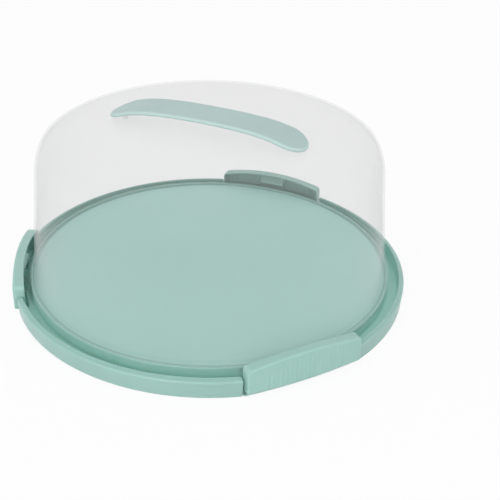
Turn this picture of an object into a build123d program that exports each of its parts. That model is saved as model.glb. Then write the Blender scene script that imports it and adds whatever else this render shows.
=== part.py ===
from build123d import *
from math import asin, cos, radians, sin, sqrt, tan
import os

# A round cake carrier: a tray, a clear cover with a strap handle, and three latches round the rim.
# Millimetres, +Z up. The origin is the centre of the tray on the table, and +X is to the right of the
# person who faces it from -Y.

# Tray
rim_radius = 173.0
rim_foot_inset = 1.2
rim_width = 5.0
rim_edge_height = 15.3
rim_crest_height = 18.6
rim_edge_rounding = 1.6
tray_wall = 2.0
rim_wall = 1.6
tray_floor_height = 17.0
groove_height = 7.0
groove_width = 9.3
ridge_height = 18.6
ridge_wall = 2.4
tray_rib_wall = 1.6
tray_rib_height = 8.0
tray_rib_count = 12
tray_rib_start = 15.0
hub_radius = 28.0
middle_ring_radius = 92.0
notch_floor_height = 1.4

# Cover
cover_clearance = 0.8
cover_foot_height = 17.3
cover_wall = 1.8
cover_draft = 4.66
cover_shoulder_start = 117.0
shoulder_radius = 48.0
shoulder_turn = 20.3
corner_radius = 8.0
crown_slope = 6.55
flange_overhang = 0.8
flange_thickness = 1.8
flange_bevel = 0.6

# Handle
handle_direction = -19.7
handle_offset = -3.0
handle_half_length = 90.5
handle_width = 36.0
handle_waist = 34.6
handle_thickness = 3.4
handle_rise = 15.2
handle_end_slope = 20.0
handle_arch_share = 0.45
handle_end_share = 0.33
handle_foot_inset = 4.0
handle_foot_length = 18.0
handle_foot_width = 20.0
post_inset = 13.0
post_radius = 3.4
post_head_radius = 6.5
post_head_thickness = 1.4
post_head_bevel = 0.5
post_depth_in_strap = 4.0
post_clearance = 0.06

# Latches
latch_azimuths = {"front_latch": -61.0, "left_latch": 184.6, "rear_latch": 70.2}
latch_set_back = 2.0
latch_half_width = 51.0
latch_bow = 3.0
latch_foot_height = 4.0
latch_middle_height = 30.8
latch_end_height = 25.2
latch_wall = 2.2
latch_cheek_wall = 2.0
latch_corner_radius = 3.0
latch_edge_bevel = 1.0
latch_end_gap = 1.8
lip_width = 8.6
lip_bow = 4.4
catch_half_width = 12.0
catch_set_back = 0.8
catch_wall = 2.2
catch_overlap = 1.4
catch_clearance = 0.3
catch_lead = 1.2
catch_height = 3.6
gusset_place = 40.0
inner_gusset_place = 13.5
gusset_wall = 1.6
gusset_foot = 12.0
grip_rib_pitch = 3.9
grip_rib_count = 20
grip_rib_height = 0.3
grip_rib_width = 1.9
grip_rib_margin = 2.6

# Latch hinges: a straight bar on the tray and two snap-on clips on each latch
hinge_depth = 6.0
hinge_height = 7.0
hinge_swing = 3.9
hinge_bar_radius = 1.6
hinge_clearance = 0.05
hinge_bar_half_length = 28.0
hinge_web_place = 26.6
inner_web_place = 9.0
hinge_web_width = 2.0
hinge_web_height = 2.2
hinge_relief = 0.35
clip_wall = 1.4
clip_width = 12.0
clip_place = 18.0
clip_mouth = 2.6

# Sizes that follow from those above
rim_foot_radius = rim_radius - rim_foot_inset
rim_inner_radius = rim_radius - rim_width
ridge_outer_radius = rim_inner_radius - groove_width
ridge_inner_radius = ridge_outer_radius - ridge_wall
cover_foot_radius = ridge_inner_radius - cover_clearance
flange_radius = ridge_outer_radius + flange_overhang
flange_top = ridge_height + flange_thickness
draft_slope = tan(radians(cover_draft))
hinge_distance = rim_radius - hinge_depth
skirt_radius = hinge_distance - hinge_swing
latch_middle_radius = rim_radius - latch_set_back
latch_arc_radius = (latch_half_width**2 + latch_bow**2) / (2 * latch_bow)
lip_middle_distance = latch_middle_radius - lip_width
notch_half_width = latch_half_width + latch_end_gap


def plan_plane(azimuth, height=0.0):
    """A level plane whose X runs outwards at the azimuth and whose Y runs along the rim."""
    outwards = (cos(radians(azimuth)), sin(radians(azimuth)), 0)
    return Plane(origin=(0, 0, height), x_dir=outwards, z_dir=(0, 0, 1))


def side_plane(azimuth, along=0.0):
    """An upright plane through the axis: X outwards at the azimuth, Y up."""
    outwards = (cos(radians(azimuth)), sin(radians(azimuth)), 0)
    normal = (sin(radians(azimuth)), -cos(radians(azimuth)), 0)
    place = (-normal[0] * along, -normal[1] * along, 0)
    return Plane(origin=place, x_dir=outwards, z_dir=normal)


def front_plane(azimuth):
    """An upright plane through the axis that faces outwards at the azimuth: X along the rim, Y up."""
    outwards = (cos(radians(azimuth)), sin(radians(azimuth)), 0)
    return Plane(origin=(0, 0, 0), x_dir=(-outwards[1], outwards[0], 0), z_dir=outwards)


def cover_radius_at(height):
    """Outer radius of the cover's drafted wall."""
    return cover_foot_radius - (height - cover_foot_height) * draft_slope


# Cover outline

shoulder_end_slope = 90 - cover_draft - shoulder_turn
corner_turn = shoulder_end_slope - crown_slope


def cover_line(inset):
    """The cover's half outline from foot to crown, moved inwards by a wall. Call it in a BuildLine."""
    shift = inset / cos(radians(cover_draft))
    foot = (cover_radius_at(cover_foot_height) - shift, cover_foot_height)
    normal = (cos(radians(cover_draft)), sin(radians(cover_draft)))
    wall_top = (
        cover_radius_at(cover_shoulder_start) - inset * normal[0],
        cover_shoulder_start - inset * normal[1],
    )
    wall = Line(foot, wall_top)
    shoulder = JernArc(wall @ 1, wall % 1, shoulder_radius - inset, shoulder_turn)
    corner = JernArc(shoulder @ 1, shoulder % 1, corner_radius - inset, corner_turn)
    edge = corner @ 1
    peak = edge.Y + edge.X * tan(radians(crown_slope / 2))
    crown = TangentArc(edge, (0, peak), tangent=corner % 1)
    return wall, crown


with BuildLine(mode=Mode.PRIVATE) as outer_cover:
    foot_line, crown_line = cover_line(0)
crown_edge = crown_line @ 0
cover_top = (crown_line @ 1).Y
crown_sphere_radius = crown_edge.X / sin(radians(crown_slope))
crown_centre_height = cover_top - crown_sphere_radius


def crown_height_at(distance):
    """Height of the cover's outer surface near the middle."""
    return crown_centre_height + sqrt(crown_sphere_radius**2 - distance**2)


# Handle

handle_side = side_plane(handle_direction)
strap_middle_height = crown_height_at(0) + handle_rise - handle_thickness / 2
strap_fall = tan(radians(handle_end_slope))


def strap_tip(side):
    """Distance and height of the strap's centre line at one tip."""
    distance = handle_offset + side * handle_half_length
    return distance, crown_height_at(distance) + handle_thickness / 2


def strap_half(side):
    """The strap's centre line from its middle to just past one tip. Call it in a BuildLine."""
    tip, tip_height = strap_tip(side)
    arch_lead = side * handle_arch_share * handle_half_length
    end_lead = handle_end_share * handle_half_length
    arch = Bezier(
        (handle_offset, strap_middle_height),
        (handle_offset + arch_lead, strap_middle_height),
        (tip - side * end_lead, tip_height + end_lead * strap_fall),
        (tip, tip_height),
    )
    Line(arch @ 1, (tip + side * handle_thickness, tip_height - handle_thickness * strap_fall))


with BuildPart() as cover_envelope:
    with BuildSketch(Plane.XZ):
        with BuildLine():
            envelope_foot, envelope_crown = cover_line(0)
            Polyline(envelope_crown @ 1, (0, cover_foot_height), envelope_foot @ 0)
        make_face()
    revolve(axis=Axis.Z)

post_places = {
    "handle_post_left": handle_offset - handle_half_length + post_inset,
    "handle_post_right": handle_offset + handle_half_length - post_inset,
}


def post_plane(distance):
    """A plane on the crown under one end of the strap, square to the crown."""
    lean = asin(distance / crown_sphere_radius)
    outwards = handle_side.x_dir
    origin = (outwards.X * distance, outwards.Y * distance, crown_height_at(distance))
    normal = (outwards.X * sin(lean), outwards.Y * sin(lean), cos(lean))
    return Plane(origin=origin, x_dir=(-outwards.Y, outwards.X, 0), z_dir=normal)


with BuildPart() as carry_handle:
    with BuildSketch(handle_side):
        with BuildLine():
            strap_half(1)
            strap_half(-1)
        trace(line_width=handle_thickness)
    extrude(amount=handle_width, both=True)
    with BuildSketch(plan_plane(handle_direction, cover_foot_height)):
        end_radius = handle_width / 2
        end_centre = handle_half_length - end_radius
        with BuildLine():
            right_end = CenterArc((handle_offset + end_centre, 0), end_radius, -90, 180)
            left_end = CenterArc((handle_offset - end_centre, 0), end_radius, 90, 180)
            ThreePointArc(right_end @ 1, (handle_offset, handle_waist / 2), left_end @ 0)
            ThreePointArc(left_end @ 1, (handle_offset, -handle_waist / 2), right_end @ 0)
        make_face()
    extrude(amount=cover_top + handle_rise, mode=Mode.INTERSECT)
    for side in (1, -1):
        tip, tip_height = strap_tip(side)
        outer = tip - side * handle_foot_inset
        inner = outer - side * handle_foot_length
        inner_rise = (handle_foot_inset + handle_foot_length) * strap_fall
        with BuildSketch(handle_side):
            with BuildLine():
                Polyline(
                    (outer, tip_height - handle_thickness),
                    (outer, tip_height + handle_foot_inset * strap_fall),
                    (inner, tip_height + inner_rise),
                    (inner, tip_height - handle_thickness),
                    close=True,
                )
            make_face()
        extrude(amount=handle_foot_width / 2, both=True)
    add(cover_envelope.part, mode=Mode.SUBTRACT)
    for place in post_places.values():
        with BuildSketch(post_plane(place)):
            Circle(post_radius + post_clearance)
        extrude(amount=post_depth_in_strap + post_clearance, both=True, mode=Mode.SUBTRACT)
carry_handle.part.label = "carry_handle"

posts = {}
for post_name, place in post_places.items():
    with BuildPart() as post:
        with BuildSketch(post_plane(place)):
            Circle(post_radius)
        extrude(amount=post_depth_in_strap)
        with BuildSketch(post_plane(place)):
            Circle(post_radius)
        extrude(amount=-cover_wall - post_head_thickness)
        with BuildSketch(post_plane(place).offset(-cover_wall - post_clearance)):
            Circle(post_head_radius)
        extrude(amount=post_clearance - post_head_thickness)
        head_edges = post.edges().filter_by(GeomType.CIRCLE).group_by(SortBy.RADIUS)[-1]
        chamfer(head_edges.sort_by(Axis.Z)[0], length=post_head_bevel)
    post.part.label = post_name
    posts[post_name] = post.part

# Cover

with BuildPart() as dome_cover:
    with BuildSketch(Plane.XZ):
        with BuildLine():
            outside_foot, outside_crown = cover_line(0)
            inside_foot, inside_crown = cover_line(cover_wall)
            Line(outside_foot @ 0, inside_foot @ 0)
            Line(outside_crown @ 1, inside_crown @ 1)
        make_face()
        with BuildLine():
            flange_root = cover_radius_at(flange_top) - cover_wall / 2
            Polyline(
                (flange_root, ridge_height),
                (flange_radius, ridge_height),
                (flange_radius, flange_top - flange_bevel),
                (flange_radius - flange_bevel, flange_top),
                (flange_root, flange_top),
                close=True,
            )
        make_face()
    revolve(axis=Axis.Z)
    for place in post_places.values():
        with BuildSketch(post_plane(place)):
            Circle(post_radius + post_clearance)
        extrude(amount=2 * cover_wall, both=True, mode=Mode.SUBTRACT)
dome_cover.part.label = "dome_cover"

# Tray

rim_cavity_half_width = notch_half_width + rim_wall

with BuildPart() as rim_cavity:
    with BuildSketch(Plane.XZ):
        groove_underside = groove_height - tray_wall
        slit_inner = rim_inner_radius + rim_wall
        slit_outer = rim_radius - rim_wall
        slit_top = rim_edge_height - tray_wall
        with BuildLine():
            Polyline(
                (ridge_outer_radius, 0),
                (ridge_outer_radius, groove_underside),
                (slit_inner, groove_underside),
                (slit_inner, slit_top + tray_wall / 2),
                (slit_outer, slit_top),
                (rim_foot_radius - tray_wall, 0),
                close=True,
            )
        make_face()
    revolve(axis=Axis.Z)
    for azimuth in latch_azimuths.values():
        with BuildSketch(plan_plane(azimuth)):
            with Locations((rim_radius, 0)):
                Rectangle(rim_radius, 2 * rim_cavity_half_width)
            Circle(skirt_radius - tray_wall, mode=Mode.SUBTRACT)
        extrude(amount=rim_crest_height, mode=Mode.SUBTRACT)

with BuildPart() as base_tray:
    with BuildSketch(Plane.XZ):
        with BuildLine():
            rim_side = FilletPolyline(
                (rim_inner_radius, rim_crest_height),
                (rim_radius, rim_edge_height),
                (rim_foot_radius, 0),
                radius=rim_edge_rounding,
            )
            Polyline(
                rim_side @ 1,
                (0, 0),
                (0, tray_floor_height),
                (ridge_inner_radius, tray_floor_height),
                (ridge_inner_radius, ridge_height),
                (ridge_outer_radius, ridge_height),
                (ridge_outer_radius, groove_height),
                (rim_inner_radius, groove_height),
                rim_side @ 0,
            )
        make_face()
    revolve(axis=Axis.Z)
    with BuildSketch(Plane.XY):
        Circle(ridge_inner_radius)
    extrude(amount=tray_floor_height - tray_wall, mode=Mode.SUBTRACT)
    with BuildSketch(Plane.XY.offset(tray_floor_height - tray_wall - tray_rib_height)):
        for ring_radius in (middle_ring_radius, hub_radius):
            Circle(ring_radius)
            Circle(ring_radius - tray_rib_wall, mode=Mode.SUBTRACT)
        rib_root = hub_radius - tray_rib_wall / 2
        rib_length = ridge_inner_radius + ridge_wall / 2 - rib_root
        with PolarLocations(rib_root + rib_length / 2, tray_rib_count, start_angle=tray_rib_start):
            Rectangle(rib_length, tray_rib_wall)
    extrude(amount=tray_rib_height + tray_wall / 2)
    add(rim_cavity.part, mode=Mode.SUBTRACT)
    for azimuth in latch_azimuths.values():
        with BuildSketch(plan_plane(azimuth, notch_floor_height)):
            with Locations((rim_radius, 0)):
                Rectangle(rim_radius, 2 * notch_half_width)
            Circle(skirt_radius, mode=Mode.SUBTRACT)
        extrude(amount=rim_crest_height, mode=Mode.SUBTRACT)
        with BuildSketch(side_plane(azimuth)):
            with Locations((hinge_distance, hinge_height)):
                Circle(hinge_bar_radius)
        extrude(amount=hinge_bar_half_length, both=True)
        for web_place in (-hinge_web_place, -inner_web_place, inner_web_place, hinge_web_place):
            web_root = sqrt(skirt_radius**2 - web_place**2) - tray_wall / 2
            with BuildSketch(side_plane(azimuth, web_place)):
                with Locations(((web_root + hinge_distance) / 2, hinge_height)):
                    Rectangle(hinge_distance - web_root, hinge_web_height)
            extrude(amount=hinge_web_width / 2, both=True)
base_tray.part.label = "base_tray"

# Latches


def latch_plan(inset):
    """The latch seen from above, moved inwards by a wall. Call it in a BuildLine."""
    half = latch_half_width - (latch_cheek_wall if inset else 0)
    radius = latch_arc_radius - inset
    centre = latch_middle_radius - latch_arc_radius
    end = centre + sqrt(radius**2 - half**2)
    lip_middle = lip_middle_distance - 2 * inset
    lip_end = lip_middle - lip_bow
    ThreePointArc((end, -half), (centre + radius, 0), (end, half))
    Line((end, half), (lip_end, half))
    ThreePointArc((lip_end, half), (lip_middle, 0), (lip_end, -half))
    Line((lip_end, -half), (end, -half))


def latch_front(inset):
    """The latch seen from outside, with its arched top moved down by a wall. Call it in a BuildLine."""
    half = latch_half_width + inset
    low = latch_foot_height - inset
    end = latch_end_height - inset
    top = ThreePointArc((half, end), (0, latch_middle_height - inset), (-half, end))
    Polyline(top @ 1, (-half, low), (half, low), top @ 0)


def arch_height_at(along):
    """Height of the latch's arched top at a place along the rim."""
    rise = latch_middle_height - latch_end_height
    arch_radius = (latch_half_width**2 + rise**2) / (2 * rise)
    return latch_middle_height - arch_radius + sqrt(arch_radius**2 - along**2)


def latch_face_at(along):
    """Distance of the latch's outer face from the axis at a place along the rim."""
    return latch_middle_radius - latch_arc_radius + sqrt(latch_arc_radius**2 - along**2)


catch_back = lip_middle_distance + catch_set_back
catch_front = catch_back + catch_wall
catch_root = latch_middle_height - latch_wall / 2
catch_foot = flange_top + catch_clearance
catch_tip = flange_radius - catch_overlap


def make_latch(azimuth, name):
    """One latch: face, lip, end cheeks, catch, grip ribs and hinge clips, moulded in one."""
    with BuildPart() as latch_hollow:
        with BuildSketch(plan_plane(azimuth)):
            with BuildLine():
                latch_plan(latch_wall)
            make_face()
        extrude(amount=latch_middle_height)
        with BuildSketch(front_plane(azimuth)):
            with BuildLine():
                latch_front(latch_wall)
            make_face()
        extrude(amount=rim_radius + latch_wall, mode=Mode.INTERSECT)

    with BuildPart() as latch:
        with BuildSketch(plan_plane(azimuth)):
            with BuildLine():
                latch_plan(0)
            make_face()
        extrude(amount=latch_middle_height)
        with BuildSketch(front_plane(azimuth)) as outline:
            with BuildLine():
                latch_front(0)
            make_face()
            fillet(outline.vertices().sort_by(Axis.Y)[-2:], radius=latch_corner_radius)
        extrude(amount=rim_radius + latch_wall, mode=Mode.INTERSECT)
        outer_face = latch.faces().filter_by(GeomType.CYLINDER).sort_by(SortBy.RADIUS)[-1]
        chamfer(outer_face.edges().sort_by(Axis.Z)[1:], length=latch_edge_bevel)
        add(latch_hollow.part, mode=Mode.SUBTRACT)

        with BuildSketch(side_plane(azimuth)):
            with BuildLine():
                Polyline(
                    (catch_back, catch_root),
                    (catch_front, catch_root),
                    (catch_front, catch_foot),
                    (catch_tip, catch_foot),
                    (catch_tip, catch_foot + catch_lead),
                    (catch_back, catch_foot + catch_height),
                    close=True,
                )
            make_face()
        extrude(amount=catch_half_width, both=True)
        for place in (-gusset_place, -inner_gusset_place, inner_gusset_place, gusset_place):
            skin = latch_face_at(place) - latch_wall / 2
            lip_underside = arch_height_at(place) - latch_wall / 2
            with BuildSketch(side_plane(azimuth, place)):
                with BuildLine():
                    Polyline(
                        (skin, gusset_foot),
                        (skin, lip_underside),
                        (catch_back, lip_underside),
                        close=True,
                    )
                make_face()
            extrude(amount=gusset_wall / 2, both=True)

        for rib_number in range(grip_rib_count):
            along = (rib_number - (grip_rib_count - 1) / 2) * grip_rib_pitch
            rib_depth = latch_wall / 2 + grip_rib_height
            rib_middle = latch_face_at(along) + grip_rib_height - rib_depth / 2
            with BuildSketch(plan_plane(azimuth, latch_foot_height)):
                with Locations((rib_middle, along)):
                    Rectangle(rib_depth, grip_rib_width)
            extrude(amount=arch_height_at(along) - grip_rib_margin - latch_foot_height)

        relief_depth = hinge_bar_radius + hinge_relief
        relief_top = hinge_height + relief_depth
        with BuildSketch(side_plane(azimuth)):
            with Locations((hinge_distance, (relief_top + latch_foot_height) / 2)):
                Rectangle(2 * relief_depth, relief_top - latch_foot_height)
        extrude(amount=hinge_bar_half_length + latch_end_gap, both=True, mode=Mode.SUBTRACT)
        for side in (-1, 1):
            bore_radius = hinge_bar_radius + hinge_clearance
            clip_radius = bore_radius + clip_wall
            with BuildSketch(side_plane(azimuth, side * clip_place)):
                with Locations((hinge_distance, hinge_height)):
                    Circle(clip_radius)
                    Circle(bore_radius, mode=Mode.SUBTRACT)
                with Locations((hinge_distance - clip_radius / 2, hinge_height)):
                    Rectangle(clip_radius, clip_mouth, mode=Mode.SUBTRACT)
            extrude(amount=clip_width / 2, both=True)
    latch.part.label = name
    return latch.part


latches = {name: make_latch(azimuth, name) for name, azimuth in latch_azimuths.items()}

# Files

os.makedirs("parts", exist_ok=True)
export_step(base_tray.part, "parts/base_tray.step")
export_step(dome_cover.part, "parts/dome_cover.step")
export_step(carry_handle.part, "parts/carry_handle.step")
for name, piece in {**posts, **latches}.items():
    export_step(piece, f"parts/{name}.step")
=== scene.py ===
import math

import bmesh
import bpy
from mathutils import Matrix, Vector


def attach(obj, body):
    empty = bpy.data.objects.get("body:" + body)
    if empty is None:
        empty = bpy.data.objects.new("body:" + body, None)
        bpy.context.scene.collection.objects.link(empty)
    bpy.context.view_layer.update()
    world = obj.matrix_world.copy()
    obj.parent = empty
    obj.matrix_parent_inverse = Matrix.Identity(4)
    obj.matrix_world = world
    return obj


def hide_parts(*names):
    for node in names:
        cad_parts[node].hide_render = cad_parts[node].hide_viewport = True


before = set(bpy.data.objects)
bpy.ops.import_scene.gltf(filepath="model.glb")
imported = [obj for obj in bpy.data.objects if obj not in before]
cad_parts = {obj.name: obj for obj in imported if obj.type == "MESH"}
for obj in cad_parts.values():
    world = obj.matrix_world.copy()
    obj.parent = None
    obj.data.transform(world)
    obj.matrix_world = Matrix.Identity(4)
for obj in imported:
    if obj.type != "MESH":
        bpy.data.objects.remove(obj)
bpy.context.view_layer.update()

MM = 0.001

# The photograph's view: a slightly rolled camera. Its distance, and how far its axis passes from the middle
# of the tray's foot, are in metres, and its focal length is in pixels of the photograph
CAMERA_DISTANCE = 0.9
CAMERA_ELEVATION = math.radians(30.31)
CAMERA_ROLL = math.radians(1.63)
CAMERA_RIGHT = 0.0360
CAMERA_UP = 0.0258
FOCAL_PIXELS = 991.27
IMAGE_PIXELS = 500
SENSOR_WIDTH = 36.0

# Sizes in millimetres from here on. The cover is as its solid has it
COVER_FOOT_RADIUS = 155.5
COVER_FOOT_HEIGHT = 17.3
COVER_WALL = 1.8
COVER_DRAFT = math.radians(4.66)
COVER_WALL_HEIGHTS = (COVER_FOOT_HEIGHT, 24, 34, 46, 60, 75, 90, 104)
SHOULDER_START = 117.0
SHOULDER_RADIUS = 48.0
SHOULDER_TURN = math.radians(20.3)
CORNER_RADIUS = 8.0
CROWN_SLOPE = math.radians(6.55)
SHOULDER_STEPS = 8
CORNER_STEPS = 16
CROWN_STEPS = 18
COVER_TURN_STEPS = 160
FLANGE_RADIUS = 159.5
FLANGE_LOW = 18.6
FLANGE_TOP = 20.4
# Below this height the cover's foot and flange carry a painted highlight: a pale teal tone and a larger
# glossy share
PAINTED_FOOT_TOP = 22.0
PAINTED_FOOT_FADE = 1.2

# The strap lies where the photograph has it. Its section is given as (inset, lift), from under its middle,
# round its edge and over it, and the rolled edge gets a paler colour as a painted highlight
STRAP_DIRECTION = math.radians(-22.0)
STRAP_OFFSET = -3.9
STRAP_HALF_LENGTH = 89.4
STRAP_WIDTH = 36.4
STRAP_WAIST = 34.6
STRAP_THICKNESS = 3.4
STRAP_RISE = 15.2
STRAP_END_FALL = math.tan(math.radians(22.0))
STRAP_END_LIFT = 1.5
STRAP_ARCH_LEAD = 0.69 * STRAP_HALF_LENGTH
STRAP_END_LEAD = 0.22 * STRAP_HALF_LENGTH
STRAP_SECTION = [
    (16.2, -1.7), (11.0, -1.7), (5.0, -1.7), (1.0, -1.7), (0.35, -1.5), (0.05, -1.05), (0.0, -0.4),
    (0.1, 0.2), (0.4, 0.65), (0.95, 1.05), (1.8, 1.38), (2.8, 1.58), (3.8, 1.66), (6.0, 1.7),
    (10.0, 1.7), (14.0, 1.7), (16.2, 1.7),
]
ROLLED_EDGE_LOW = -1.3
ROLLED_EDGE_WIDTH = 2.0
STRAP_LINE_STEPS = 60
STRAP_TIP_STEPS = 24
STRAP_SIDE_STEPS = 72

# The posts under the strap: a post's outline is given as (radius, height above the crown)
POST_INSET = 12.0
POST_OUTLINE = [(0, -1.2), (2.2, -1.2), (2.4, -1.0), (2.4, 5.0), (0, 5.0)]
POST_TURN_STEPS = 24

# The tray is as its solid has it, but for the floors of its notches
TRAY_FLOOR = 17.0
TRAY_WALL = 2.0
RIDGE_INNER = 156.3
RIDGE_OUTER = 158.7
RIDGE_TOP = 18.6
GROOVE_FLOOR = 7.0
SKIRT_RADIUS = 163.1
SKIRT_INNER = SKIRT_RADIUS - TRAY_WALL
UNDER_FLOOR = TRAY_FLOOR - TRAY_WALL
UNDER_GROOVE = GROOVE_FLOOR - TRAY_WALL
RIM_INNER = 168.0
RIM_CREST = 18.6
RIM_RADIUS = 173.0
RIM_EDGE = 15.3
RIM_FOOT = 171.8
RIM_WALL = 1.6
HUB_RADIUS = 28.0
RING_RADIUS = 92.0
RIB_LOW = 7.0
RIB_TOP = 15.5
RIB_WALL = 1.6
RIB_COUNT = 12
TRAY_ROUNDING = 0.25

# Hinge bars of the latches, and the webs that hold them
HINGE_OUT = 167.0
HINGE_HEIGHT = 7.0
BAR_RADIUS = 1.6
BAR_HALF_LENGTH = 28.0
WEB_PLACES = (-26.6, -9.0, 9.0, 26.6)
WEB_HALF_WIDTH = 1.0
WEB_LOW = 5.9
WEB_TOP = 8.1

# Latches
LATCH_AZIMUTHS = {
    "front_latch": math.radians(-61.0),
    "left_latch": math.radians(184.6),
    "rear_latch": math.radians(70.2),
}
LATCH_MIDDLE = 171.0
LATCH_HALF_WIDTH = 51.0
LATCH_BOW = 3.0
LATCH_FOOT = 4.0
LATCH_MIDDLE_HEIGHT = 30.8
LATCH_END_HEIGHT = 25.2
LATCH_WALL = 2.2
LATCH_CORNER = 3.0
LATCH_ROUNDING = 0.2
LATCH_STEP = 0.49
CHEEK_WALL = 2.0
CHEEK_ROUNDING = 1.3
CHEEK_STATIONS = (0.0, 0.4, 0.8, 1.1, 1.4, 1.65, 1.85, 1.96, CHEEK_WALL)
FACE_ROUNDING = 1.9
LIP_WIDTH = 8.6
LIP_BOW = 4.4
LIP_ROUNDING = 1.0
GRIP_PITCH = 3.9
GRIP_HALF_WIDTH = 37.0
GRIP_FADE = 2.0
GRIP_HEIGHT = 0.36
CATCH_OUTLINE = [
    (165.2, 29.6), (166.8, 29.6), (166.8, 20.7), (162.6, 20.7), (162.6, 21.5), (164.2, 22.5), (165.2, 23.6),
]
CATCH_HALF_WIDTH = 12.0
GUSSET_PLACES = (-40.0, -13.5, 13.5, 40.0)
GUSSET_INNER = 163.2
GUSSET_FOOT = 12.0
GUSSET_HALF_WIDTH = 0.8
CLIP_PLACES = (-18.0, 18.0)
CLIP_HALF_WIDTH = 6.0
CLIP_OUTER = 3.05
CLIP_INNER = 1.65
RELIEF_HALF_WIDTH = 30.0
RELIEF_OUT = HINGE_OUT + 2.0

# Notches of the rim. The front one has a low floor, set well back. In the others the floor closes the slot
# behind the latch, up to a place along it
NOTCH_HALF_WIDTH = 52.8
NOTCH_WALL = 1.6
NOTCH_CORNER = 1.3
NOTCH_CORNER_STATIONS = (NOTCH_WALL, 1.45, 1.3, 0.95, 0.62, 0.35, 0.16, 0.04, 0.0)
NOTCH_STATIONS = [
    -52.8, -52.0, -51.8, -51.0, -48.5, *range(-46, 47, 2), 48.5, 51.0, 51.8, 52.0, 52.8,
]
NOTCH_FLOOR = 1.3
NOTCH_FLOOR_SETBACK = 4.2
CLOSED_FLOOR_END = 34.0
CLOSED_FLOOR_SETBACK = 1.6
CLOSED_FLOOR_GAP = 0.2
BESIDE_LATCH = LATCH_HALF_WIDTH + 0.9
BESIDE_LATCH_SETBACK = 2.0

# Edges sharper than this keep their corner in the shading, or are rounded
SHARP_ANGLE = math.radians(50)


# Nodes of the materials


class Value:
    """A socket's value that Python's operators can work on, each adding its Math node."""

    def __init__(self, nodes, socket):
        self.nodes = nodes
        self.socket = socket

    def maths(self, operation, *values):
        return self.nodes.add("ShaderNodeMath", {"operation": operation}, dict(enumerate(values)))

    def __add__(self, other):
        return self.maths("ADD", self, other)

    __radd__ = __add__

    def __sub__(self, other):
        return self.maths("SUBTRACT", self, other)

    def __rsub__(self, other):
        return self.maths("SUBTRACT", other, self)

    def __mul__(self, other):
        return self.maths("MULTIPLY", self, other)

    __rmul__ = __mul__

    def __pow__(self, power):
        return self.maths("POWER", self, power)

    def or_more(self, other):
        return self.maths("MAXIMUM", self, other)

    def step(self, low, high):
        """0 below low, 1 above high, and a smooth step between them."""
        settings = {"interpolation_type": "SMOOTHSTEP"}
        return self.nodes.add("ShaderNodeMapRange", settings, {0: self, 1: low, 2: high})

    def past(self, edge, blend):
        """0 before an edge and 1 past it, with a smooth step of one blend, in millimetres, to each side."""
        return self.step((edge - blend) * MM, (edge + blend) * MM)


class Nodes:
    """The node tree of a material or of the world."""

    def __init__(self, owner):
        owner.use_nodes = True
        self.owner = owner
        self.tree = owner.node_tree
        self.tree.nodes.clear()

    def add(self, kind, settings=None, inputs=None, output=0):
        """One node: its settings, then the values or links of its sockets."""
        node = self.tree.nodes.new(kind)
        for name, value in (settings or {}).items():
            setattr(node, name, value)
        for place, value in (inputs or {}).items():
            if isinstance(value, Value):
                self.tree.links.new(value.socket, node.inputs[place])
            else:
                node.inputs[place].default_value = value
        return Value(self, node.outputs[output]) if len(node.outputs) else None

    def place(self):
        return self.add("ShaderNodeTexCoord", output="Object")

    def height(self):
        return self.add("ShaderNodeSeparateXYZ", None, {0: self.place()}, output="Z")

    def radius(self):
        """Distance from the upright axis of the carrier."""
        flat = self.add("ShaderNodeVectorMath", {"operation": "MULTIPLY"}, {0: self.place(), 1: (1, 1, 0)})
        return self.add("ShaderNodeVectorMath", {"operation": "LENGTH"}, {0: flat}, output="Value")

    def noise(self, scale, detail=3.0, roughness=0.5):
        inputs = {"Vector": self.place(), "Scale": scale, "Detail": detail, "Roughness": roughness}
        return self.add("ShaderNodeTexNoise", None, inputs)

    def blend(self, share, first, second):
        """Colour first where share is 0 and second where it is 1."""
        return self.add("ShaderNodeMix", {"data_type": "RGBA"}, {0: share, 6: first, 7: second}, output=2)

    def seen(self):
        """1 for what the camera sees, itself, in a gloss or through something clear."""
        rays = [self.add("ShaderNodeLightPath", output=f"Is {kind} Ray") for kind in ("Camera", "Glossy")]
        through = self.add("ShaderNodeLightPath", output="Is Transmission Ray")
        return rays[0].or_more(rays[1]).or_more(through)

    def show(self, shader, kind="ShaderNodeOutputMaterial"):
        self.add(kind, None, {"Surface": shader})
        return self.owner


def tint(red, green, blue):
    """A colour written as a screen shows it, 0 to 255, for the sockets."""
    shares = [channel / 255 for channel in (red, green, blue)]
    return (*[s / 12.92 if s <= 0.04045 else ((s + 0.055) / 1.055) ** 2.4 for s in shares], 1)


TEAL = tint(161, 198, 190)
TEAL_DEEP = tint(156, 194, 186)
TRAY_TEAL = tint(156, 192, 184)
TRAY_TEAL_DEEP = tint(151, 188, 180)
# Painted light: the floor inside the ridge is coloured lighter than the tray, for light that the cover keeps
# off it
TEAL_FLOOR_PAINTED_LIGHT = tint(172, 214, 206)
# Painted light: the groove is coloured paler than the tray, to lift the shade that falls in it
TEAL_GROOVE_PAINTED_LIGHT = tint(180, 226, 214)
# Painted shade: the rim's top is coloured darker than the tray, for the shade that the light leaves on it
TEAL_CREST_PAINTED_SHADE = tint(144, 182, 174)
# Paler edge colours: partly rubbed wear, partly a painted highlight on every edge
TEAL_WORN_AND_HIGHLIGHT = tint(186, 214, 209)
MILKY = (0.76, 0.76, 0.76, 1)
MILKY_PALE = (0.82, 0.82, 0.82, 1)
FILM_CLEAR = (0.964, 0.964, 0.964, 1)
# Painted highlight on the cover's foot, tinted teal for the tray's light in the clear plastic
FOOT_PAINTED_HIGHLIGHT = tint(196, 226, 220)
STRAP_TEAL = tint(171, 194, 191)
STRAP_TEAL_DEEP = tint(167, 190, 187)
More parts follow.
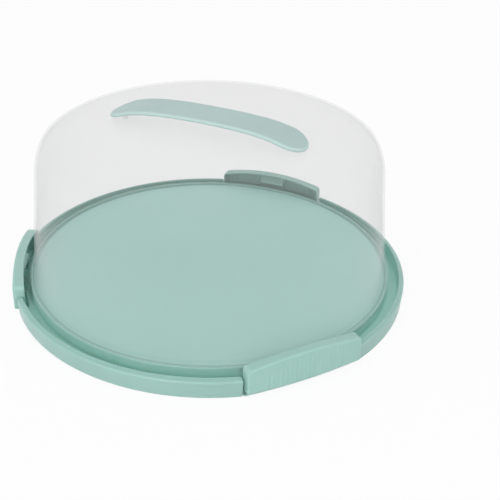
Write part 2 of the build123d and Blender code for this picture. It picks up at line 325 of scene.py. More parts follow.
# Painted highlight: the strap's rolled edge is coloured paler than its middle
STRAP_EDGE_HIGHLIGHT = tint(183, 205, 201)
STRAP_WORN_AND_HIGHLIGHT = tint(198, 216, 212)
WHITE = (1, 1, 1, 1)
FLOOR_GREY = (0.86, 0.86, 0.86, 1)

# How widely, in millimetres, a zone of painted light and shade fades at its sides and foot, and at its top.
# The other two are limits that no part of the tray reaches
ZONE_BLEND = 0.6
ZONE_TOP_BLEND = 2.0
BELOW_ALL = -9
ABOVE_ALL = 40


def moulded_plastic(name, colour, deep, worn_and_highlight, roughness, grain, depth, painted_zones=()):
    """Satin plastic: flow marks, a moulded grain, paler edges that are partly rubbed wear and partly a
    painted highlight, and zones of painted light and shade.

    A zone is a painted tone, lighter where it stands for light and darker where it stands for shade, with its
    radii and its heights. Grain and depth, how far light gets in, are in millimetres.
    """
    nodes = Nodes(bpy.data.materials.new(name))
    clouds = nodes.noise(9.0)
    flow = nodes.noise(42.0, 4.0, 0.6)
    speckle = nodes.noise(900.0, 2.0)
    scuffs = nodes.noise(70.0, 6.0, 0.72).step(0.55, 0.72)
    edge = nodes.add("ShaderNodeNewGeometry", output="Pointiness").step(0.53, 0.6)
    body = nodes.blend((clouds * 0.5 + flow * 0.35 + speckle * 0.15).step(0.35, 0.65), colour, deep)
    if painted_zones:
        radius, height = nodes.radius(), nodes.height()
    # Each zone paints light or shade over the body colour
    for tone, (inner, outer), (low, top) in painted_zones:
        across = radius.past(inner, ZONE_BLEND) - radius.past(outer, ZONE_BLEND)
        upward = height.past(low, ZONE_BLEND) - height.past(top, ZONE_TOP_BLEND)
        body = nodes.blend(across * upward, body, tone)
    # Convex edges turn paler: a painted highlight on all of them, with more where scuffs show wear
    base = nodes.blend(edge * (0.14 + scuffs * 0.3), body, worn_and_highlight)
    fine = nodes.noise(2400.0, 2.0)
    waves = nodes.noise(130.0, 3.0)
    relief = {"Height": fine * 0.7 + waves * 0.3, "Strength": 0.3, "Distance": grain * MM}
    inputs = {
        "Base Color": base,
        "Roughness": roughness + clouds * 0.05 + scuffs * 0.07 + edge * 0.05,
        "IOR": 1.47,
        "Subsurface Weight": 0.8,
        "Subsurface Radius": (1.0, 1.0, 1.0),
        "Subsurface Scale": depth * MM,
        "Normal": nodes.add("ShaderNodeBump", None, relief),
    }
    return nodes.show(nodes.add("ShaderNodeBsdfPrincipled", None, inputs))


def clear_plastic(name):
    """Clear polished plastic: it catches the room at a slant, and its thick foot and flange carry a painted
    highlight, tinted teal for the tray's light in them.
    """
    nodes = Nodes(bpy.data.materials.new(name))
    haze = nodes.noise(11.0)
    wipes = nodes.noise(95.0, 5.0, 0.65)
    slant = nodes.add("ShaderNodeLayerWeight", None, {"Blend": 0.5}, output="Facing")
    # Painted highlight over the foot and flange, in a pale teal tone
    foot = 1 - nodes.height().step(PAINTED_FOOT_TOP * MM, (PAINTED_FOOT_TOP + PAINTED_FOOT_FADE) * MM)
    film = nodes.add("ShaderNodeBsdfTransparent", None, {"Color": FILM_CLEAR})
    inputs = {
        "Base Color": nodes.blend(foot, nodes.blend(haze, MILKY, MILKY_PALE), FOOT_PAINTED_HIGHLIGHT),
        "Roughness": 0.07 + wipes * 0.09,
        "IOR": 1.49,
    }
    skin = nodes.add("ShaderNodeBsdfPrincipled", None, inputs)
    share = 0.03 + haze * 0.01 + wipes.step(0.5, 0.8) * 0.006 + foot * 0.03 + slant**4 * 0.3
    return nodes.show(nodes.add("ShaderNodeMixShader", None, {0: share, 1: film, 2: skin}))


# Painted light and shade on the tray: a lighter floor and a lighter groove stand in for light, and a darker
# rim top for shade
tray_painted_light_and_shade = [
    (TEAL_FLOOR_PAINTED_LIGHT, (BELOW_ALL, RIDGE_INNER - ZONE_BLEND), (TRAY_FLOOR - 3, ABOVE_ALL)),
    (TEAL_GROOVE_PAINTED_LIGHT, (RIDGE_OUTER, RIM_INNER + ZONE_BLEND), (BELOW_ALL, 14.0)),
    (TEAL_CREST_PAINTED_SHADE, (RIM_INNER - ZONE_BLEND, RIM_RADIUS + 2), (RIM_EDGE + 0.2, ABOVE_ALL)),
]
tray_finish = moulded_plastic(
    "tray_plastic", TRAY_TEAL, TRAY_TEAL_DEEP, TEAL_WORN_AND_HIGHLIGHT,
    roughness=0.36, grain=0.03, depth=5.0, painted_zones=tray_painted_light_and_shade,
)
latch_finish = moulded_plastic(
    "latch_plastic", TEAL, TEAL_DEEP, TEAL_WORN_AND_HIGHLIGHT, roughness=0.34, grain=0.03, depth=1.2,
)
strap_finish = moulded_plastic(
    "strap_plastic", STRAP_TEAL, STRAP_TEAL_DEEP, STRAP_WORN_AND_HIGHLIGHT, roughness=0.46, grain=0.05, depth=1.5,
)
# The rolled edge's paler colour is a painted highlight
strap_edge_highlight_finish = moulded_plastic(
    "strap_edge_highlight_plastic", STRAP_EDGE_HIGHLIGHT, STRAP_EDGE_HIGHLIGHT, STRAP_WORN_AND_HIGHLIGHT, roughness=0.42, grain=0.03, depth=1.5,
)
cover_finish = clear_plastic("cover_plastic")


# Pieces, and the meshes that they are made of


def new_piece(name, mesh, finish, body, slot, *nodes):
    """Puts a piece in the scene, hangs it on the empty of the body that it rides on, and hides the CAD nodes
    that it stands for.
    """
    piece = bpy.data.objects.new(name, mesh)
    bpy.context.scene.collection.objects.link(piece)
    mesh.materials.append(finish)
    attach(piece, body)
    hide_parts(*nodes)
    return piece


def rounded_line(corners, steps=6):
    """Points of a line whose corners, each (x, y, radius), are rounded by arcs."""
    points = []
    for before, (x, y, radius), after in zip(corners[-1:] + corners[:-1], corners, corners[1:] + corners[:1]):
        if not radius:
            points.append((x, y))
            continue
        corner = Vector((x, y))
        back = (Vector(before[:2]) - corner).normalized()
        on = (Vector(after[:2]) - corner).normalized()
        half = back.angle(on) / 2
        centre = corner + (back + on).normalized() * (radius / math.sin(half))
        start = corner + back * (radius / math.tan(half)) - centre
        turn = start.angle_signed(corner + on * (radius / math.tan(half)) - centre)
        for step in range(steps + 1):
            spoke = start.copy()
            spoke.rotate(Matrix.Rotation(-turn * step / steps, 2))
            points.append(tuple(centre + spoke))
    return points


def turned(name, line, count):
    """A mesh turned about the upright axis from a closed line of (radius, height) points."""
    shape = bmesh.new()
    turns = [math.tau * number / count for number in range(count)]
    rings = []
    for radius, height in line:
        if radius < 1e-6:
            rings.append([shape.verts.new((0, 0, height * MM))] * count)
            continue
        spots = [(radius * math.cos(t) * MM, radius * math.sin(t) * MM, height * MM) for t in turns]
        rings.append([shape.verts.new(spot) for spot in spots])
    for ring, next_ring in zip(rings, rings[1:] + rings[:1]):
        for number in range(count):
            after = (number + 1) % count
            corners = dict.fromkeys([ring[number], ring[after], next_ring[after], next_ring[number]])
            if len(corners) > 2:
                shape.faces.new(list(corners))
    return finished(shape, name)


def finished(shape, name):
    """Turns a bmesh into a smooth mesh that keeps its sharp corners."""
    bmesh.ops.remove_doubles(shape, verts=shape.verts, dist=1e-6)
    bmesh.ops.recalc_face_normals(shape, faces=shape.faces)
    mesh = bpy.data.meshes.new(name)
    shape.to_mesh(mesh)
    shape.free()
    mesh.shade_smooth()
    mesh.set_sharp_from_angle(angle=SHARP_ANGLE)
    return mesh


def round_edges(piece, width):
    """Rounds a piece's sharp edges by a width in millimetres and evens out its shading."""
    bevel = piece.modifiers.new("rounded_edges", "BEVEL")
    bevel.width = width * MM
    bevel.segments = 2
    bevel.limit_method = "ANGLE"
    bevel.angle_limit = SHARP_ANGLE
    bevel.miter_outer = "MITER_ARC"
    even = piece.modifiers.new("even_shading", "WEIGHTED_NORMAL")
    even.keep_sharp = True


# Cover


def cover_outline(inset):
    """Points from foot to crown of the cover's outline, moved inwards by a wall."""
    fall = math.tan(COVER_DRAFT)
    normal = Vector((math.cos(COVER_DRAFT), math.sin(COVER_DRAFT)))
    start = Vector((COVER_FOOT_RADIUS - (SHOULDER_START - COVER_FOOT_HEIGHT) * fall, SHOULDER_START))
    points = []
    for height in COVER_WALL_HEIGHTS:
        radius = COVER_FOOT_RADIUS - (height - COVER_FOOT_HEIGHT) * fall - inset / normal.x
        points.append(Vector((radius, height)))
    lean = COVER_DRAFT
    centre = start - normal * SHOULDER_RADIUS
    for step in range(SHOULDER_STEPS + 1):
        angle = lean + SHOULDER_TURN * step / SHOULDER_STEPS
        points.append(centre + Vector((math.cos(angle), math.sin(angle))) * (SHOULDER_RADIUS - inset))
    lean += SHOULDER_TURN
    centre += Vector((math.cos(lean), math.sin(lean))) * (SHOULDER_RADIUS - CORNER_RADIUS)
    corner_end = math.pi / 2 - CROWN_SLOPE
    for step in range(1, CORNER_STEPS + 1):
        angle = lean + (corner_end - lean) * step / CORNER_STEPS
        points.append(centre + Vector((math.cos(angle), math.sin(angle))) * (CORNER_RADIUS - inset))
    edge = points[-1]
    sphere = edge.x / math.sin(CROWN_SLOPE)
    sphere_height = edge.y - sphere * math.cos(CROWN_SLOPE)
    for step in range(1, CROWN_STEPS + 1):
        slope = CROWN_SLOPE * (1 - step / CROWN_STEPS)
        points.append(Vector((sphere * math.sin(slope), sphere_height + sphere * math.cos(slope))))
    return points, sphere, sphere_height


outer_line, crown_radius, crown_centre = cover_outline(0)
inner_line, _, _ = cover_outline(COVER_WALL)


def crown_height(distance):
    """Height of the cover's top surface at a distance from the axis."""
    return crown_centre + math.sqrt(crown_radius**2 - distance**2)


def make_cover():
    """The clear cover: a drafted wall, a soft shoulder and a shallow crown, with a flange at its foot."""
    fall = math.tan(COVER_DRAFT)
    low_root = COVER_FOOT_RADIUS - (FLANGE_LOW - COVER_FOOT_HEIGHT) * fall
    top_root = COVER_FOOT_RADIUS - (FLANGE_TOP - COVER_FOOT_HEIGHT) * fall
    foot = rounded_line(
        [
            (inner_line[0].x, COVER_FOOT_HEIGHT, 0.4),
            (outer_line[0].x, COVER_FOOT_HEIGHT, 0.4),
            (low_root, FLANGE_LOW, 0.15),
            (FLANGE_RADIUS, FLANGE_LOW, 0.3),
            (FLANGE_RADIUS, FLANGE_TOP, 0.7),
            (top_root, FLANGE_TOP, 1.9),
            (outer_line[1].x, outer_line[1].y, 0),
            (inner_line[1].x, inner_line[1].y, 0),
        ]
    )
    upper = [tuple(point) for point in outer_line[2:]]
    inner = [tuple(point) for point in reversed(inner_line[2:])]
    line = foot[:-1] + upper + inner + foot[-1:]
    mesh = turned("clear_cover", line, COVER_TURN_STEPS)
    new_piece("clear_cover", mesh, cover_finish, "cover", "clear_plastic", "dome_cover")


# Strap


def strap_surface():
    """Distances along the strap and heights of its middle surface, from tip to tip."""
    points = []
    for side in (-1, 1):
        tip = STRAP_OFFSET + side * STRAP_HALF_LENGTH
        tip_height = crown_height(tip) + STRAP_END_LIFT + STRAP_THICKNESS / 2
        middle = crown_height(0) + STRAP_RISE - STRAP_THICKNESS / 2
        bend = [
            Vector((STRAP_OFFSET, middle)),
            Vector((STRAP_OFFSET + side * STRAP_ARCH_LEAD, middle)),
            Vector((tip - side * STRAP_END_LEAD, tip_height + STRAP_END_LEAD * STRAP_END_FALL)),
            Vector((tip, tip_height)),
        ]
        half = []
        for step in range(STRAP_LINE_STEPS + 1):
            t = step / STRAP_LINE_STEPS
            weights = ((1 - t) ** 3, 3 * (1 - t) ** 2 * t, 3 * (1 - t) * t**2, t**3)
            half.append(sum((w * p for w, p in zip(weights, bend)), Vector((0, 0))))
        points += reversed(half[1:]) if side < 0 else half
    return points


strap_line = strap_surface()


def strap_height(distance):
    """Height of the strap's middle surface and the slope there, at a distance along it."""
    distance = min(max(distance, strap_line[0].x), strap_line[-1].x)
    for before, after in zip(strap_line, strap_line[1:]):
        if distance <= after.x:
            break
    slope = (after.y - before.y) / (after.x - before.x)
    return before.y + (distance - before.x) * slope, slope


def strap_point(along, across, lift):
    """A point of the strap: along and across it, and lifted square to its middle surface."""
    height, slope = strap_height(along)
    stretch = math.hypot(1, slope)
    along -= lift * slope / stretch
    height += lift / stretch
    cosine, sine = math.cos(STRAP_DIRECTION), math.sin(STRAP_DIRECTION)
    return Vector((along * cosine - across * sine, along * sine + across * cosine, height)) * MM


def strap_loop(inset):
    """The strap's outline from above as (along, across), moved inwards."""
    radius = STRAP_WIDTH / 2 - inset
    centre = STRAP_HALF_LENGTH - STRAP_WIDTH / 2
    pinch = (STRAP_WIDTH - STRAP_WAIST) / 2
    loop = []
    for side in (1, -1):
        for step in range(STRAP_TIP_STEPS + 1):
            angle = math.pi * (step / STRAP_TIP_STEPS - 0.5)
            along = centre + radius * math.cos(angle)
            loop.append((STRAP_OFFSET + side * along, side * radius * math.sin(angle)))
        for step in range(1, STRAP_SIDE_STEPS):
            along = centre * (1 - 2 * step / STRAP_SIDE_STEPS)
            across = radius - pinch * (1 - (along / centre) ** 2)
            loop.append((STRAP_OFFSET + side * along, side * across))
    return loop


def make_strap():
    """The strap handle: an arched band with a wide rolled edge, which carries a painted highlight in a paler
    colour than its middle.
    """
    shape = bmesh.new()
    loops = []
    for inset, lift in STRAP_SECTION:
        spots = [strap_point(along, across, lift) for along, across in strap_loop(inset)]
        loops.append([shape.verts.new(spot) for spot in spots])
    count = len(loops[0])
    sections = zip(loops, loops[1:], STRAP_SECTION, STRAP_SECTION[1:])
    for loop, next_loop, (_, lift), (inset, _) in sections:
        # Faces of the rolled edge take the paler colour of the painted highlight
        on_edge = lift > ROLLED_EDGE_LOW and inset < ROLLED_EDGE_WIDTH
        for number in range(count):
            after = (number + 1) % count
            face = shape.faces.new((loop[number], loop[after], next_loop[after], next_loop[number]))
            face.material_index = int(on_edge)
    half = count // 2
    for loop in (loops[0], loops[-1]):
        for tip in (0, half):
            shape.faces.new(loop[tip : tip + STRAP_TIP_STEPS + 1])
        for step in range(STRAP_TIP_STEPS, half):
            across = (count + STRAP_TIP_STEPS - step) % count
            shape.faces.new((loop[step], loop[step + 1], loop[across - 1], loop[across]))
    mesh = finished(shape, "strap")
    new_piece("strap", mesh, strap_finish, "cover", "strap_plastic", "carry_handle")
    mesh.materials.append(strap_edge_highlight_finish)


# Places round the tray, and the shapes that the tray and the latches share


def notch_turn(radius, half):
    """Angle from the middle of a notch to a line at half a width to its side, at a radius."""
    return math.asin(half / max(radius, SKIRT_RADIUS))


def turned_spot(radius, height, turn):
    """A spot at a radius, a height and an angle round the tray."""
    return Vector((radius * math.cos(turn), radius * math.sin(turn), height)) * MM


def latch_spot(azimuth, out, along, height):
    """A spot in a latch's own directions: outwards, along the rim, and up."""
    cosine, sine = math.cos(azimuth), math.sin(azimuth)
    return Vector((out * cosine - along * sine, out * sine + along * cosine, height)) * MM


def face_out(along):
    """How far out a latch's bowed face is, at a place along it."""
    radius = (LATCH_HALF_WIDTH**2 + LATCH_BOW**2) / (2 * LATCH_BOW)
    return LATCH_MIDDLE - radius + math.sqrt(radius**2 - min(abs(along), LATCH_HALF_WIDTH) ** 2)


def add_band(shape, loops):
    """Faces between neighbouring loops of spots."""
    rings = [[shape.verts.new(spot) for spot in loop] for loop in loops]
    for ring, next_ring in zip(rings, rings[1:]):
        for number in range(len(ring)):
            after = (number + 1) % len(ring)
            shape.faces.new((ring[number], ring[after], next_ring[after], next_ring[number]))


def add_cap(shape, spots):
    """One face from a loop of spots."""
    shape.faces.new([shape.verts.new(spot) for spot in spots])


def add_prism(shape, azimuth, outline, start, end):
    """An outline of (out, height) points, carried along the rim from start to end."""
    ends = [[latch_spot(azimuth, out, along, height) for out, height in outline] for along in (start, end)]
    add_band(shape, ends)
    for loop in ends:
        add_cap(shape, loop)


def circle_points(centre, radius, start=0.0, turn=360.0, count=24):
    """Points of a circle or of a part of one, in degrees."""
    whole = turn == 360.0
    angles = [math.radians(start + turn * step / (count if whole else count - 1)) for step in range(count)]
    return [(centre[0] + radius * math.cos(a), centre[1] + radius * math.sin(a)) for a in angles]


def split_line(points, first, last):
    """The part of a closed line that runs from one of its corners to another."""
    start = min(range(len(points)), key=lambda n: math.dist(points[n], first))
    line = points[start:] + points[:start]
    end = min(range(len(line)), key=lambda n: math.dist(line[n], last))
    return line[: end + 1]


# Tray


def tray_sections():
    """The tray's section in three parts: inside its skirt, the outside of its rim, and the rim's hollow."""
    skirt_top = (SKIRT_RADIUS, GROOVE_FLOOR)
    skirt_back = (SKIRT_INNER, UNDER_GROOVE)
    skirt_foot = (SKIRT_INNER, 0)
    outline = rounded_line(
        [
            (0, TRAY_FLOOR, 0), (RIDGE_INNER, TRAY_FLOOR, 0.7), (RIDGE_INNER, RIDGE_TOP, 0.6),
            (RIDGE_OUTER, RIDGE_TOP, 0.7), (RIDGE_OUTER, GROOVE_FLOOR, 2.2), (*skirt_top, 0),
            (RIM_INNER, GROOVE_FLOOR, 2.2), (RIM_INNER, RIM_CREST, 1.3), (RIM_RADIUS, RIM_EDGE, 2.2),
            (RIM_FOOT, 0, 0.9), (*skirt_foot, 0), (*skirt_back, 0),
            (RIDGE_OUTER, UNDER_GROOVE, 0.6), (RIDGE_OUTER, 0, 0.6), (RIDGE_INNER, 0, 0.6),
            (RIDGE_INNER, UNDER_FLOOR, 0.6), (0, UNDER_FLOOR, 0),
        ],
        steps=5,
    )
    inner = split_line(outline, skirt_back, skirt_top)
    rim = split_line(outline, skirt_top, skirt_foot)
    hollow = [
        (RIM_FOOT - TRAY_WALL, 0), (RIM_RADIUS - RIM_WALL, 13.3), (RIM_INNER + RIM_WALL, 14.2),
        (RIM_INNER + RIM_WALL, UNDER_GROOVE),
    ]
    return inner, rim, hollow


def notch_floor_height(along, closed):
    """Height of a notch's floor. Where it closes the slot, it just clears the foot of the swinging latch."""
    if not closed or along > CLOSED_FLOOR_END:
        return NOTCH_FLOOR
    swing = math.hypot(face_out(along) - HINGE_OUT, HINGE_HEIGHT - LATCH_FOOT)
    return HINGE_HEIGHT - swing - CLOSED_FLOOR_GAP


def notch_floor_line(along, closed):
    """The outer edge of a notch's floor, set back from the latch's face, as (out, height)."""
    top = notch_floor_height(along, closed)
    closes_slot = closed and along <= CLOSED_FLOOR_END
    edge = face_out(along) - (CLOSED_FLOOR_SETBACK if closes_slot else NOTCH_FLOOR_SETBACK)
    edge -= BESIDE_LATCH_SETBACK if abs(along) > BESIDE_LATCH else 0
    return [(edge - 0.4, top), (edge, top - 0.4), (edge, 0.3), (edge - 0.3, 0)]


def add_rim(shape, azimuth, next_azimuth, section):
    """The tray's whole section, carried round from one notch to the next."""
    steps = 40
    loops = []
    for step in range(steps + 1):
        share = step / steps
        loop = []
        for radius, height in section:
            edge = notch_turn(radius, NOTCH_HALF_WIDTH + NOTCH_WALL)
            turn = (azimuth + edge) * (1 - share) + (next_azimuth - edge) * share
            loop.append(turned_spot(radius, height, turn))
        loops.append(loop)
    add_band(shape, loops)


def drawn_in(line, inset):
    """The rim's outside moved inwards, which leaves the groove's floor and the foot where they are."""
    fade, foot_top = 2.5, 0.95
    points = []
    for number, (radius, height) in enumerate(line):
        before = line[max(number - 1, 0)]
        after = line[min(number + 1, len(line) - 1)]
        along = Vector((after[0] - before[0], after[1] - before[1])).normalized()
        share = min(max((height - GROOVE_FLOOR) / fade, 0), 1) if number < len(line) / 2 else 1
        share = 0 if radius < RIM_INNER - 0.1 else share
        lift = 0 if height < foot_top else along.x * inset * share
        points.append((radius + along.y * inset * share, height - lift))
    return points


def add_notch_end(shape, azimuth, side, sections, closed):
    """The end wall of the rim beside a notch, with its outer edge rounded."""
    inner, rim, hollow = sections
    loops = []
    for beyond in NOTCH_CORNER_STATIONS:
        inset = NOTCH_CORNER - math.sqrt(NOTCH_CORNER**2 - max(NOTCH_CORNER - beyond, 0) ** 2)
        loop = []
        for radius, height in inner + drawn_in(rim, inset)[1:]:
            turn = azimuth + side * notch_turn(radius, NOTCH_HALF_WIDTH + beyond)
            loop.append(turned_spot(radius, height, turn))
        loops.append(loop)
    add_band(shape, loops)
    inside = []
    for radius, height in [(SKIRT_INNER, UNDER_GROOVE), (SKIRT_INNER, 0), *hollow]:
        turn = azimuth + side * notch_turn(radius, NOTCH_HALF_WIDTH + NOTCH_WALL)
        inside.append(turned_spot(radius, height, turn))
    add_cap(shape, inside)
    outside = []
    for radius, height in drawn_in(rim, NOTCH_CORNER)[:-1]:
        outside.append(turned_spot(radius, height, azimuth + side * notch_turn(radius, NOTCH_HALF_WIDTH)))
    along = side * NOTCH_HALF_WIDTH
    floor_line = reversed(notch_floor_line(along, closed))
    outside += [latch_spot(azimuth, out, along, height) for out, height in floor_line]
    skirt_turn = azimuth + side * notch_turn(SKIRT_RADIUS, NOTCH_HALF_WIDTH)
    outside.append(turned_spot(SKIRT_RADIUS, notch_floor_height(along, closed), skirt_turn))
    add_cap(shape, outside)


def add_notch_floor(shape, azimuth, inner, closed):
    """The tray's section where the rim is cut away: its inside, then the skirt down to the notch's floor."""
    loops = []
    for along in NOTCH_STATIONS:
        turn = azimuth + math.asin(along / SKIRT_RADIUS)
        loop = [turned_spot(radius, height, turn) for radius, height in inner]
        loop.append(turned_spot(SKIRT_RADIUS, notch_floor_height(along, closed), turn))
        floor_line = notch_floor_line(along, closed)
        loop += [latch_spot(azimuth, out, along, height) for out, height in floor_line]
        loop.append(turned_spot(SKIRT_INNER, 0, turn))
        loops.append(loop)
    add_band(shape, loops)


def add_hinge_bar(shape, azimuth):
    """The bar that a latch's clips snap on, with its webs."""
    bar = circle_points((HINGE_OUT, HINGE_HEIGHT), BAR_RADIUS)
    add_prism(shape, azimuth, bar, -BAR_HALF_LENGTH, BAR_HALF_LENGTH)
    for place in WEB_PLACES:
        root = math.sqrt(SKIRT_RADIUS**2 - place**2) - 1.0
        web = [(root, WEB_LOW), (HINGE_OUT, WEB_LOW), (HINGE_OUT, WEB_TOP), (root, WEB_TOP)]
        add_prism(shape, azimuth, web, place - WEB_HALF_WIDTH, place + WEB_HALF_WIDTH)


def add_ribs(shape):
    """The rings and ribs under the tray's floor."""
    steps = 96
    for ring in (RING_RADIUS, HUB_RADIUS):
        section = [(ring, RIB_LOW), (ring, RIB_TOP), (ring - RIB_WALL, RIB_TOP), (ring - RIB_WALL, RIB_LOW)]
        loops = []
        for step in range(steps + 1):
            turn = math.tau * step / steps
            loops.append([turned_spot(radius, height, turn) for radius, height in section])
        add_band(shape, loops)
    start, end = HUB_RADIUS - RIB_WALL / 2, RIDGE_INNER + 1
    section = [(start, RIB_LOW), (end, RIB_LOW), (end, RIB_TOP), (start, RIB_TOP)]
    for number in range(RIB_COUNT):
        azimuth = math.radians((number + 0.5) * 360 / RIB_COUNT)
        add_prism(shape, azimuth, section, -RIB_WALL / 2, RIB_WALL / 2)


def make_tray():
    """The tray: floor, ridge, groove and hollow rim, three notches with their hinge bars, and ribs below."""
    shape = bmesh.new()
    sections = tray_sections()
    inner, rim, hollow = sections
    azimuths = sorted(LATCH_AZIMUTHS.values())
    for azimuth, next_azimuth in zip(azimuths, azimuths[1:] + [azimuths[0] + math.tau]):
        add_rim(shape, azimuth, next_azimuth, inner + rim[1:-1] + hollow)
    for azimuth in azimuths:
        closed = azimuth != LATCH_AZIMUTHS["front_latch"]
        for side in (-1, 1):
            add_notch_end(shape, azimuth, side, sections, closed)
        add_notch_floor(shape, azimuth, inner, closed)
        add_hinge_bar(shape, azimuth)
    add_ribs(shape)
    mesh = finished(shape, "tray")
    piece = new_piece("tray", mesh, tray_finish, "tray", "tray_plastic", "base_tray")
    round_edges(piece, TRAY_ROUNDING)


# Latches


def latch_top(along):
    """Height of a latch's arched top, with its rounded corners."""
    rise = LATCH_MIDDLE_HEIGHT - LATCH_END_HEIGHT
    radius = (LATCH_HALF_WIDTH**2 + rise**2) / (2 * rise)
    arch = LATCH_MIDDLE_HEIGHT - radius + math.sqrt(radius**2 - along**2)
    past = min(max(abs(along) - (LATCH_HALF_WIDTH - LATCH_CORNER), 0), LATCH_CORNER)
    return arch - (LATCH_CORNER - math.sqrt(LATCH_CORNER**2 - past**2))


def lip_in(along):
    """Distance from the axis of the lip's inner edge."""
    radius = (LATCH_HALF_WIDTH**2 + LIP_BOW**2) / (2 * LIP_BOW)
    return LATCH_MIDDLE - LIP_WIDTH - radius + math.sqrt(radius**2 - along**2)


def latch_outside(along, inset):
    """The latch's section from its foot up the face, over the lip and round the lip's edge."""
    out, top, lip = face_out(along) - inset, latch_top(along) - inset, lip_in(along) + inset
    grip = GRIP_HEIGHT * (0.5 + 0.5 * math.cos(math.tau * along / GRIP_PITCH))
    proud = out + grip * min(max((GRIP_HALF_WIDTH - abs(along)) / GRIP_FADE, 0), 1)
    points = [(out - 0.5, LATCH_FOOT), (out, LATCH_FOOT + 0.5)]
    points += [(proud, LATCH_FOOT + 1.6), (proud, top - 4.6), (out, top - 3.2)]
    points += circle_points((out - FACE_ROUNDING, top - FACE_ROUNDING), FACE_ROUNDING, 0, 90, 7)
    points.append(((out + lip) / 2, top))
    points += circle_points((lip + LIP_ROUNDING, top - LIP_ROUNDING), LIP_ROUNDING, 90, 90, 6)
    return points


def latch_inside(along):
    """The rest of the latch's section: under the lip and down the face's back."""
    under, lip = latch_top(along) - LATCH_WALL, lip_in(along)
    back = face_out(along) - LATCH_WALL
    relief = max(back, RELIEF_OUT) if abs(along) < RELIEF_HALF_WIDTH else back
    points = [(lip + 0.25, under + 0.3), (lip + 0.9, under)]
    points += [(back - 1.6, under), (back - 0.5, under - 0.45), (back, under - 1.6)]
    return points + [(back, 9.6), (relief, 9.0), (relief, LATCH_FOOT)]


def add_cheek(shape, azimuth, side):
    """The closed and rounded end of a latch."""
    cheek = LATCH_HALF_WIDTH - CHEEK_WALL
    loops = []
    for beyond in CHEEK_STATIONS:
        along = side * (cheek + beyond)
        into = max(beyond - (CHEEK_WALL - CHEEK_ROUNDING), 0)
        inset = CHEEK_ROUNDING - math.sqrt(max(CHEEK_ROUNDING**2 - into**2, 0))
        section = latch_outside(along, inset) + [(lip_in(along) + inset, LATCH_FOOT + inset)]
        loops.append([latch_spot(azimuth, out, along, height) for out, height in section])
    add_band(shape, loops)
    add_cap(shape, loops[-1])
    inside = [latch_outside(side * cheek, 0)[-1], *latch_inside(cheek), (lip_in(cheek), LATCH_FOOT)]
    add_cap(shape, [latch_spot(azimuth, out, side * cheek, height) for out, height in inside])


def make_latch(node, azimuth):
    """One latch: a bowed face with soft grip ribs, an arched lip, cheeks, a catch, gussets and clips."""
    shape = bmesh.new()
    cheek = LATCH_HALF_WIDTH - CHEEK_WALL
    steps = round(cheek / LATCH_STEP)
    loops = []
    for number in range(-steps, steps + 1):
        along = cheek * number / steps
        section = latch_outside(along, 0) + latch_inside(along)
        loops.append([latch_spot(azimuth, out, along, height) for out, height in section])
    add_band(shape, loops)
    for side in (-1, 1):
        add_cheek(shape, azimuth, side)
    add_prism(shape, azimuth, CATCH_OUTLINE, -CATCH_HALF_WIDTH, CATCH_HALF_WIDTH)
    for place in GUSSET_PLACES:
        skin, under = face_out(place) - LATCH_WALL / 2, latch_top(place) - LATCH_WALL / 2
        gusset = [(skin, GUSSET_FOOT), (skin, under), (GUSSET_INNER, under)]
        add_prism(shape, azimuth, gusset, place - GUSSET_HALF_WIDTH, place + GUSSET_HALF_WIDTH)
    clip = circle_points((HINGE_OUT, HINGE_HEIGHT), CLIP_OUTER, start=-152, turn=304, count=22)
    clip += circle_points((HINGE_OUT, HINGE_HEIGHT), CLIP_INNER, start=128, turn=-256, count=22)
    for place in CLIP_PLACES:
        add_prism(shape, azimuth, clip, place - CLIP_HALF_WIDTH, place + CLIP_HALF_WIDTH)
    mesh = finished(shape, f"{node}_moulding")
    piece = new_piece(f"{node}_moulding", mesh, latch_finish, node, "latch_plastic", node)
    round_edges(piece, LATCH_ROUNDING)


# Posts


def make_post(node, side):
    """A short post that holds the strap's end to the crown, clear like the cover."""
    along = STRAP_OFFSET + side * (STRAP_HALF_LENGTH - POST_INSET)
    crown = crown_height(along)
    line = [(radius, crown + height) for radius, height in POST_OUTLINE]
    mesh = turned(f"{node}_stem", line, POST_TURN_STEPS)
    mesh.transform(Matrix.Translation(strap_point(along, 0, 0) * Vector((1, 1, 0))))
    new_piece(f"{node}_stem", mesh, cover_finish, "cover", "strap_plastic", node)


# The whole carrier

make_cover()
make_strap()
make_tray()
for latch, azimuth in LATCH_AZIMUTHS.items():
    make_latch(latch, azimuth)
make_post("handle_post_left", -1)
make_post("handle_post_right", 1)


# Camera, lamps, room and floor


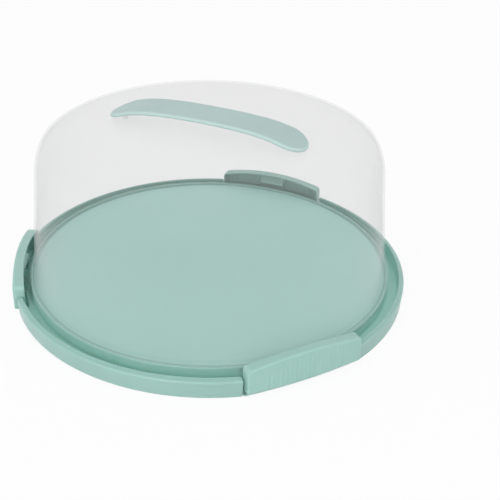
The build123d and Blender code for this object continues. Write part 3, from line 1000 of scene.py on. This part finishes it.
def place_camera():
    """The photograph's view."""
    forward = Vector((0, math.cos(CAMERA_ELEVATION), -math.sin(CAMERA_ELEVATION)))
    level_right = Vector((1, 0, 0))
    level_up = level_right.cross(forward)
    right = level_right * math.cos(CAMERA_ROLL) + level_up * math.sin(CAMERA_ROLL)
    up = level_up * math.cos(CAMERA_ROLL) - level_right * math.sin(CAMERA_ROLL)
    lens = bpy.data.cameras.new("camera")
    lens.sensor_width = SENSOR_WIDTH
    lens.lens = FOCAL_PIXELS / IMAGE_PIXELS * SENSOR_WIDTH
    camera = bpy.data.objects.new("camera", lens)
    spot = right * CAMERA_RIGHT + up * CAMERA_UP - forward * CAMERA_DISTANCE
    camera.matrix_world = Matrix.Translation(spot) @ Matrix((right, up, -forward)).transposed().to_4x4()
    bpy.context.scene.collection.objects.link(camera)
    bpy.context.scene.camera = camera


def place_lamp(name, size, power, spot):
    """A soft square studio lamp that points at the middle of the carrier."""
    middle = Vector((0, 0, 0.06))
    light = bpy.data.lights.new(name, "AREA")
    light.size = size
    light.energy = power
    lamp = bpy.data.objects.new(name, light)
    lamp.location = spot
    lamp.rotation_euler = (middle - Vector(spot)).to_track_quat("-Z", "Y").to_euler()
    bpy.context.scene.collection.objects.link(lamp)


def light_room(strength):
    """An even pale room, which shows as plain white."""
    room = Nodes(bpy.data.worlds.new("room"))
    glow = room.add("ShaderNodeBackground", None, {"Color": WHITE, "Strength": strength})
    white = room.add("ShaderNodeBackground", None, {"Color": WHITE, "Strength": 1.0})
    shader = room.add("ShaderNodeMixShader", None, {0: room.seen(), 1: glow, 2: white})
    bpy.context.scene.world = room.show(shader, "ShaderNodeOutputWorld")


def lay_floor(reach, whiteness):
    """A floor that looks white, and by the rest of its whiteness keeps a faint shadow."""
    nodes = Nodes(bpy.data.materials.new("white_floor"))
    matt = nodes.add("ShaderNodeBsdfDiffuse", None, {"Color": FLOOR_GREY})
    white = nodes.add("ShaderNodeEmission", None, {"Color": WHITE, "Strength": 1.0})
    shader = nodes.add("ShaderNodeMixShader", None, {0: nodes.seen() * whiteness, 1: matt, 2: white})
    mesh = bpy.data.meshes.new("floor")
    corners = [(-reach, -reach, 0), (reach, -reach, 0), (reach, reach, 0), (-reach, reach, 0)]
    mesh.from_pydata(corners, [], [(0, 1, 2, 3)])
    mesh.materials.append(nodes.show(shader))
    floor = bpy.data.objects.new("floor", mesh)
    bpy.context.scene.collection.objects.link(floor)


place_camera()
lay_floor(reach=3, whiteness=0.9)
light_room(strength=0.8)
place_lamp("key_lamp", size=1.4, power=17.0, spot=(-0.7, -1.85, 1.0))
place_lamp("fill_lamp", size=1.6, power=5.0, spot=(1.4, -0.9, 1.3))
bpy.context.scene.view_settings.view_transform = "Standard"
